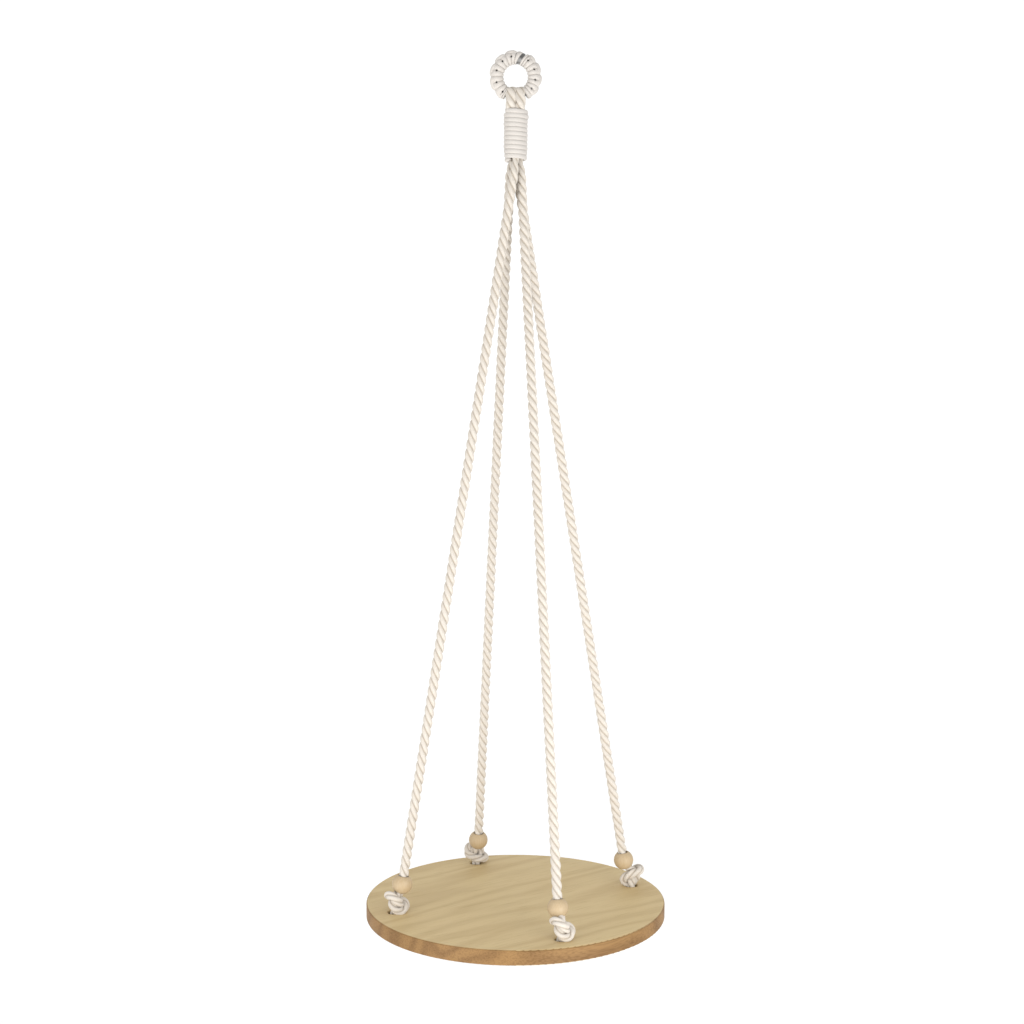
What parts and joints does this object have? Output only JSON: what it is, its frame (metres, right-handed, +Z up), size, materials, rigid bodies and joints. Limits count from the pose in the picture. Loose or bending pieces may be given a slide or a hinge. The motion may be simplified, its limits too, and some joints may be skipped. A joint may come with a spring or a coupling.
{
  "type": "hanging rope planter shelf",
  "caption": "Round wooden shelf hung from a small cord-covered ring by twisted cotton ropes, with a gathering wrap, knots and wooden beads, to hold potted plants.",
  "frame": {"origin": "inside top of the ring's eye, where a hook carries the planter", "axes": "+Z up along the hanging line, +X to the right in the ring's plane, -Y to the front"},
  "size_m": [0.3, 0.3, 0.8632],
  "materials": {
    "cotton_rope": "undyed three-strand twisted cotton, matt",
    "cotton_cord": "undyed cotton cord, coiled and hitched, matt",
    "steel_wire": "dull grey drawn wire",
    "board_wood": "clear oiled softwood with fine grain",
    "bead_wood": "raw turned wood"
  },
  "bodies": {
    "ring": {"steel_ring": "steel_wire", "ring_cover_left": "cotton_cord", "ring_cover_right": "cotton_cord"},
    "head": {"rope_fold_left": "cotton_rope", "rope_fold_right": "cotton_rope", "gather_wrap": "cotton_cord"},
    "neck": {"rope_core_front_left": "cotton_rope", "rope_core_front_right": "cotton_rope", "rope_core_back_right": "cotton_rope", "rope_core_back_left": "cotton_rope"},
    "sling": {"rope_leg_front_left": "cotton_rope", "rope_leg_front_right": "cotton_rope", "rope_leg_back_right": "cotton_rope", "rope_leg_back_left": "cotton_rope", "rope_knot_front_left": "cotton_rope", "rope_knot_front_right": "cotton_rope", "rope_knot_back_right": "cotton_rope", "rope_knot_back_left": "cotton_rope", "board_strap_left": "cotton_rope", "board_strap_right": "cotton_rope", "round_board": "board_wood"},
    "bead_front_left": {"bead_front_left": "bead_wood"},
    "bead_front_right": {"bead_front_right": "bead_wood"},
    "bead_back_right": {"bead_back_right": "bead_wood"},
    "bead_back_left": {"bead_back_left": "bead_wood"}
  },
  "joints": [
    {"name": "ring_tilt", "type": "hinge", "parent": "ring", "child": "head", "pos_m": [0, 0, -0.0287], "axis": [1, 0, 0], "range_deg": [-40, 40]},
    {"name": "shelf_twist", "type": "hinge", "parent": "head", "child": "neck", "pos_m": [0, 0, -0.0919], "axis": [0, 0, 1], "range_deg": [-180, 180], "stiffness_Nm_per_rad": 0.008},
    {"name": "sling_sway", "type": "hinge", "parent": "neck", "child": "sling", "pos_m": [0, 0, -0.0919], "axis": [0, 1, 0], "range_deg": [-25, 25]},
    {"name": "bead_slide_front_left", "type": "slide", "parent": "sling", "child": "bead_front_left", "axis": [0.1563, 0.0441, 0.9867], "range_m": [0, 0.6]},
    {"name": "bead_slide_front_right", "type": "slide", "parent": "sling", "child": "bead_front_right", "axis": [-0.0489, 0.1563, 0.9865], "range_m": [0, 0.6]},
    {"name": "bead_slide_back_right", "type": "slide", "parent": "sling", "child": "bead_back_right", "axis": [-0.1563, -0.0441, 0.9867], "range_m": [0, 0.6]},
    {"name": "bead_slide_back_left", "type": "slide", "parent": "sling", "child": "bead_back_left", "axis": [0.0489, -0.1563, 0.9865], "range_m": [0, 0.6]}
  ]
}
